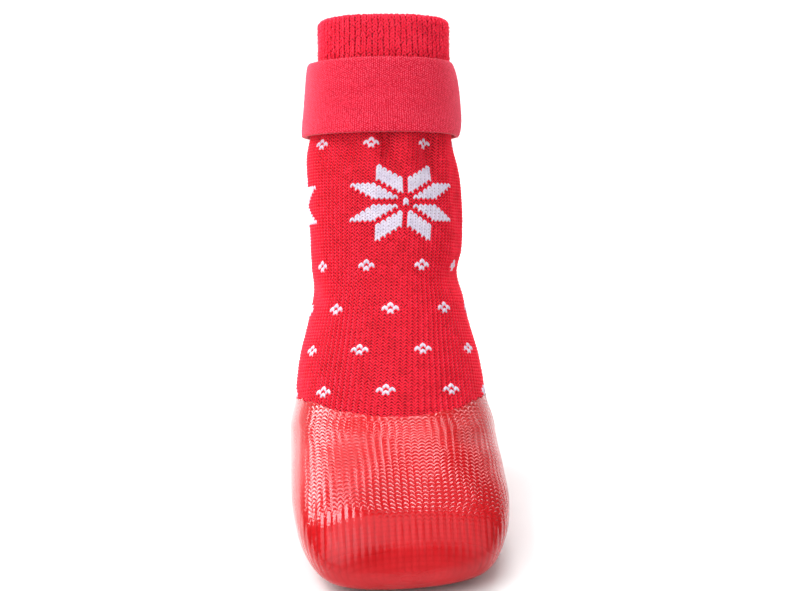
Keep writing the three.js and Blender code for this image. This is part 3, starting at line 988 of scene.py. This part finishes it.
def strap_band():
    share = np.linspace(0.0, 1.0, STRAP_STEPS + 1)[:, None]
    angle = -2 * math.pi * np.arange(STRAP_EDGE_POINTS) / STRAP_EDGE_POINTS
    high = 0.5 - strap_half_width(share) * squared(np.cos(angle))
    out = 0.5 * STRAP_THICKNESS * (1 + squared(np.sin(angle)))
    points, faces = closed_rings(smooth_form.skin(*strap_place(share, high, out)))
    dress(add_piece("strap_band", points, faces, [STRAP]), "strap", "ankle_strap")


def strap_pile():
    """The loops that cover the band's outside, in columns, each a small closed bead."""
    rng = np.random.default_rng(SEED + 3)
    columns = np.arange(0.5, STRAP_LENGTH / PILE_ACROSS)
    column, row = pairs(columns, np.arange(0.5, STRAP_WIDTH / PILE_DOWN))
    row = row + 0.5 * (np.floor(column) % 2) - 0.25  # every other column is half a loop lower
    share = (column * PILE_ACROSS + rng.normal(0, PILE_SPREAD, len(column))) / STRAP_LENGTH
    high = (row * PILE_DOWN + rng.normal(0, PILE_SPREAD, len(row))) / STRAP_WIDTH
    share = np.clip(share, 0.0, 1.0)
    from_middle = (high - 0.5) / strap_half_width(share)
    kept = np.abs(from_middle) < PILE_EDGE
    share, high, from_middle = share[kept], high[kept], from_middle[kept]
    rounded = (1 - np.abs(from_middle) ** STRAP_EDGE_POWER) ** (1 / STRAP_EDGE_POWER)
    stations, turns, lift = strap_place(share, high, 0.5 * STRAP_THICKNESS * (1 + rounded) - PILE_SINK)
    points, normals = smooth_form.at(stations, turns)
    below, _ = smooth_form.at(stations + NEARBY, turns)
    down = unit(below - points)
    side = np.cross(normals, down)
    middle = (points + normals * lift[:, None])[:, None]
    size = PILE_SIZE * (1 + rng.normal(0, PILE_SIZE_SPREAD, (len(share), 3)))
    axes = np.stack([side, down, normals], axis=1) * size[..., None]
    corners = np.concatenate([middle + axes, middle - axes], axis=1)
    faces = copies(len(share), BEAD_CORNERS, BEAD_FACES)
    dress(add_piece("strap_loops", corners, faces, [PILE]), "strap")


# Loose fibres on the knit, the cuff and the strap's edges: thin closed spikes that bend over

FIBRE_RADIUS = 0.028
FIBRE_TAPER = 0.7  # how thick a fibre is at its bend, next to its root
FIBRE_LOWER = 0.55  # shares of the length below and above the bend
FIBRE_UPPER = 0.5
FIBRE_LEAN = 0.55
FIBRE_DROOP = 0.45
FIBRE_UNEVEN = (0.5, 1.5)
LEG_FIBRES = 1800
LEG_FIBRES_CLEAR = 1.0  # above the dip line
CUFF_FIBRES = 4200
RIM_FIBRES = 700
RIM_DEPTHS = (-3.0, 0.3)
STRAP_FIBRES = 700
STRAP_FIBRES_END = 0.97  # in shares of the strap's length, thickness and width
STRAP_FIBRES_OUT = 0.6
STRAP_FIBRES_HIGH = (0.01, 0.99)

# A fibre's points are three at the root, three at the bend and the tip
FIBRE_POINTS = 7
FIBRE_QUADS = np.array([(0, 1, 4, 3), (1, 2, 5, 4), (2, 0, 3, 5)])
FIBRE_TRIANGLES = np.array([(3, 4, 6), (4, 5, 6), (5, 3, 6), (2, 1, 0)])


def add_fibres(name, roots, normals, rng, material, slot, length):
    count = len(roots)
    lean = unit(normals + rng.normal(0, FIBRE_LEAN, (count, 3)))
    droop = rng.normal(0, FIBRE_DROOP, (count, 3))
    long = length * rng.uniform(*FIBRE_UNEVEN, (count, 1))
    middle = roots + lean * long * FIBRE_LOWER
    tip = middle + unit(lean + droop) * long * FIBRE_UPPER
    side = unit(np.cross(lean, rng.normal(0, 1, (count, 3))))
    other = np.cross(lean, side)
    angle = 2 * math.pi * np.arange(3) / 3
    ring = np.cos(angle)[:, None] * side[:, None] + np.sin(angle)[:, None] * other[:, None]
    root_ring = roots[:, None] + FIBRE_RADIUS * ring
    bend_ring = middle[:, None] + FIBRE_TAPER * FIBRE_RADIUS * ring
    points = np.concatenate([root_ring, bend_ring, tip[:, None]], axis=1)
    faces = copies(count, FIBRE_POINTS, FIBRE_QUADS, FIBRE_TRIANGLES)
    dress(add_piece(name, points, faces, [material]), slot)


def fibres():
    rng = np.random.default_rng(SEED + 4)
    stations = course_station(rng.uniform(0, LEG_COURSES, LEG_FIBRES * 2))
    roots, normals = form.at(stations, wale_turn(stations, rng.uniform(0, WALES, len(stations))))
    bare = np.flatnonzero(above_dip(roots) > LEG_FIBRES_CLEAR)[:LEG_FIBRES]
    add_fibres("fibres_leg", roots[bare], normals[bare], rng, YARN["red_yarn"], "knit", length=0.7)
    cuff_depths = rng.uniform(0.0, form.run_at(STRAP_TOP), CUFF_FIBRES)
    depths = np.concatenate([cuff_depths, rng.uniform(*RIM_DEPTHS, RIM_FIBRES)])
    roots, normals = cuff_surface(depths, rng.uniform(0, 1, len(depths)))
    add_fibres("fibres_cuff", roots, normals, rng, YARN["cuff_yarn"], "knit", length=0.9)
    at_top = rng.uniform(0, 1, STRAP_FIBRES) < 0.5
    share = rng.uniform(0, STRAP_FIBRES_END, STRAP_FIBRES)
    high = np.where(at_top, *STRAP_FIBRES_HIGH)
    stations, turns, lift = strap_place(share, high, STRAP_FIBRES_OUT * STRAP_THICKNESS)
    points, normals = smooth_form.at(stations, turns)
    above, _ = smooth_form.at(stations - NEARBY, turns)
    outwards = unit(unit(above - points) * np.where(at_top, 1.0, -1.0)[:, None] + normals)
    roots = points + normals * lift[:, None]
    add_fibres("fibres_strap", roots, outwards, rng, PILE, "strap", length=0.6)


knit_wall()
leg_stitches()
cuff_stitches()
rubber_coat()
strap_band()
strap_pile()
fibres()


# Floor, backdrop and light, in metres

STAGE_REACH = 3.0
STAGE_BEND = 0.5
STAGE_BEND_STEPS = 24
STAGE_BACK = 1.4
STAGE_TOP = 0.6
LIGHT_AIM = (0.0, 0.0, 0.06)

# Place, width and height, power in watts, and an aim other than the sock
SOFTBOXES = {
    "overhead": ((0.12, 0.31, 0.84), (0.48, 0.22), 5.2),
    "shoulder": ((-0.45, 0.10, 0.79), (0.30, 0.30), 4.2),
    "left_back": ((-0.57, 0.45, 0.42), (0.30, 0.30), 4.2),
    "right_back": ((0.53, 0.48, 0.44), (0.14, 0.28), 0.7),
    "front_top": ((-0.10, -0.45, 1.30), (1.6, 0.8), 7.0),
    "key_left": ((-0.95, -0.85, 0.85), (1.6, 1.5), 20.0),
    "fill_right": ((0.90, -0.50, 0.55), (0.9, 0.9), 3.2),
    "backdrop": ((0.0, 0.9, 1.2), (1.5, 0.5), 30.0, (0.0, 1.9, 0.3)),
}


def stage_material():
    n = Nodes("pale_stage")
    grain = n.noise(scale=30.0, detail=2.0)
    return n.finish(n.ramp(grain, (0.3, (0.74, 0.74, 0.74)), (0.7, (0.78, 0.78, 0.78))), Roughness=0.6)


def stage():
    """A floor that sweeps up into a backdrop behind the sock."""
    bend = np.linspace(0.0, math.pi / 2, STAGE_BEND_STEPS)
    y = np.concatenate([[-STAGE_REACH], STAGE_BACK + STAGE_BEND * np.sin(bend), [STAGE_BACK + STAGE_BEND]])
    z = np.concatenate([[0.0], STAGE_BEND * (1 - np.cos(bend)), [STAGE_TOP]])
    sides = [np.stack([np.full(len(y), x), y, z], axis=-1) for x in (-STAGE_REACH, STAGE_REACH)]
    points = np.concatenate(sides) / MM + np.array([0.0, MIDDLE_Y, 0.0])
    left = np.arange(len(y) - 1)
    right = left + len(y)
    quads = np.stack([left, right, right + 1, left + 1], axis=-1)
    add_piece("stage_sweep", points, [quads], [stage_material()])


def softbox(name, place, size, power, aim=LIGHT_AIM):
    data = bpy.data.lights.new(name, "AREA")
    data.shape = "RECTANGLE"
    data.size, data.size_y = size
    data.energy = power
    lamp = add_object(name, data)
    lamp.location = place
    # A lamp shines along its own -Z
    x, y, z = np.subtract(aim, place)
    lamp.rotation_euler = (math.pi / 2 + math.atan2(z, math.hypot(x, y)), 0.0, math.atan2(-x, y))


stage()
for light, settings in SOFTBOXES.items():
    softbox(light, *settings)

world = bpy.data.worlds.new("studio")
world.use_nodes = True
background = world.node_tree.nodes["Background"]
background.inputs["Color"].default_value = (1.0, 1.0, 1.0, 1.0)
background.inputs["Strength"].default_value = 0.20
scene.world = world
scene.view_settings.view_transform = "Standard"


# Camera: its place and angle come from fitting the last's outline to the photo

FRAME_WIDTH = 800.0  # in pixels, and so is the focal length
FOCAL_PIXELS = 1247.0
SENSOR = 36.0
CAMERA_DISTANCE = 330.0  # from the strap's front, in millimetres
CAMERA_HEIGHT = 130.5
CAMERA_AZIMUTH = math.radians(3.4)
CAMERA_DOWN = math.radians(13.5)
CAMERA_CENTRING = math.radians(0.55)
STRAP_FRONT_Y = 22.5

camera_data = bpy.data.cameras.new("camera")
camera_data.sensor_width = SENSOR
camera_data.lens = SENSOR * FOCAL_PIXELS / FRAME_WIDTH
camera_data.clip_start = 0.01
camera = add_object("camera", camera_data)
camera.location = (
    -CAMERA_DISTANCE * math.sin(CAMERA_AZIMUTH) * MM,
    (STRAP_FRONT_Y - CAMERA_DISTANCE * math.cos(CAMERA_AZIMUTH) - MIDDLE_Y) * MM,
    CAMERA_HEIGHT * MM,
)
camera.rotation_euler = (math.pi / 2 - CAMERA_DOWN, 0.0, -(CAMERA_AZIMUTH + CAMERA_CENTRING))
scene.camera = camera
